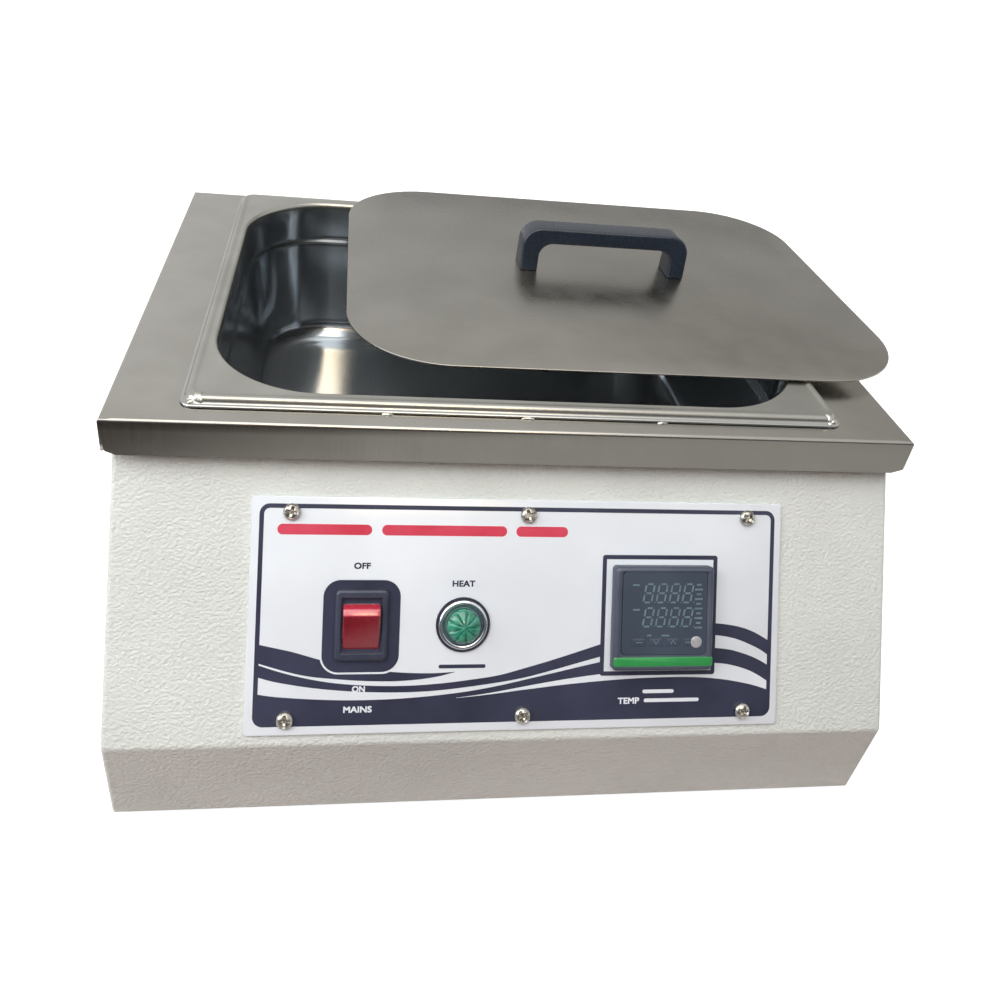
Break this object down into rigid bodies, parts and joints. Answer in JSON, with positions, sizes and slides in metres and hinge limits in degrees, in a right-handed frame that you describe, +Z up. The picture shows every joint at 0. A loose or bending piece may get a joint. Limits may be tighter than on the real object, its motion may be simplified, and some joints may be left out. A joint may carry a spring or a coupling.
{
  "type": "tissue flotation bath",
  "caption": "Bench water bath with a drawn stainless pan, slanted front with rocker switch, heat lamp and temperature controller, and a loose flat lid with a bridge handle.",
  "frame": {"origin": "under the middle of the whole object, lid included as it lies, on the surface that the feet stand on", "axes": "+Z up, the slanted front faces -Y, +X to the right of someone facing the front"},
  "size_m": [0.4212, 0.365, 0.2285],
  "materials": {
    "plate_stainless": "satin sheet",
    "lid_stainless": "satin sheet, faintly mottled",
    "pan_stainless": "drawn and polished",
    "powder_coat": "off-white leather-grain powder coat",
    "zinc_plate": "zinc plated",
    "label_face": "glossy printed film",
    "black_plastic": "moulded",
    "red_rocker": "translucent moulding",
    "chrome_ring": "plated",
    "green_lens": "clear faceted moulding",
    "slate_plastic": "fine moulded grain",
    "display_window": "smoked window",
    "green_strip": "printed strip",
    "screw_zinc": "bright plated",
    "foot_rubber": "matt",
    "heater_silicone": "vulcanised mat",
    "insulation": "needled fibre"
  },
  "bodies": {
    "cabinet": {"top_plate": "plate_stainless", "bath_pan": "pan_stainless", "cabinet_shell": "powder_coat", "rear_panel": "powder_coat", "base_plate": "zinc_plate", "label_plate": "label_face", "switch_housing": "black_plastic", "indicator_bezel": "chrome_ring", "indicator_lens": "green_lens", "indicator_nut": "black_plastic", "controller_case": "slate_plastic", "controller_window": "display_window", "controller_strip": "green_strip", "controller_clamp": "black_plastic", "heater_mat": "heater_silicone", "insulation_pad": "insulation", "thermal_cutout": "black_plastic", "sensor_probe": "chrome_ring", "terminal_block": "black_plastic", "power_inlet": "black_plastic", "label_screw_1": "screw_zinc", "label_screw_2": "screw_zinc", "label_screw_3": "screw_zinc", "label_screw_4": "screw_zinc", "label_screw_5": "screw_zinc", "label_screw_6": "screw_zinc", "foot_screw_1": "screw_zinc", "foot_screw_2": "screw_zinc", "foot_screw_3": "screw_zinc", "foot_screw_4": "screw_zinc", "base_screw_1": "screw_zinc", "base_screw_2": "screw_zinc", "base_screw_3": "screw_zinc", "base_screw_4": "screw_zinc", "rear_screw_1": "screw_zinc", "rear_screw_2": "screw_zinc", "rear_screw_3": "screw_zinc", "rear_screw_4": "screw_zinc", "plate_nut_1": "screw_zinc", "plate_nut_2": "screw_zinc", "plate_nut_3": "screw_zinc", "plate_nut_4": "screw_zinc", "inlet_screw_1": "screw_zinc", "inlet_screw_2": "screw_zinc", "foot_1": "foot_rubber", "foot_2": "foot_rubber", "foot_3": "foot_rubber", "foot_4": "foot_rubber"},
    "rocker": {"switch_rocker": "red_rocker"},
    "key_set": {"controller_key_set": "slate_plastic"},
    "key_down": {"controller_key_down": "slate_plastic"},
    "key_up": {"controller_key_up": "slate_plastic"},
    "key_mode": {"controller_key_mode": "slate_plastic"},
    "lid": {"lid_sheet": "lid_stainless", "lid_handle": "black_plastic", "lid_screw_1": "screw_zinc", "lid_screw_2": "screw_zinc"}
  },
  "joints": [
    {"name": "rocker_tilt", "type": "hinge", "parent": "cabinet", "child": "rocker", "pos_m": [-0.09245, -0.15166, 0.10539], "axis": [1, 0, 0], "range_deg": [-24, 0]},
    {"name": "key_set_press", "type": "slide", "parent": "cabinet", "child": "key_set", "axis": [0, 0.8415, -0.5402], "range_m": [0, 0.0004], "stiffness_N_per_m": 700, "springref_m": -0.0004},
    {"name": "key_down_press", "type": "slide", "parent": "cabinet", "child": "key_down", "axis": [0, 0.8415, -0.5402], "range_m": [0, 0.0004], "stiffness_N_per_m": 700, "springref_m": -0.0004},
    {"name": "key_up_press", "type": "slide", "parent": "cabinet", "child": "key_up", "axis": [0, 0.8415, -0.5402], "range_m": [0, 0.0004], "stiffness_N_per_m": 700, "springref_m": -0.0004},
    {"name": "key_mode_press", "type": "slide", "parent": "cabinet", "child": "key_mode", "axis": [0, 0.8415, -0.5402], "range_m": [0, 0.0004], "stiffness_N_per_m": 700, "springref_m": -0.0004},
    {"name": "lid_lift", "type": "slide", "parent": "cabinet", "child": "lid", "axis": [0, 0, 1], "range_m": [0, 0.12]}
  ]
}
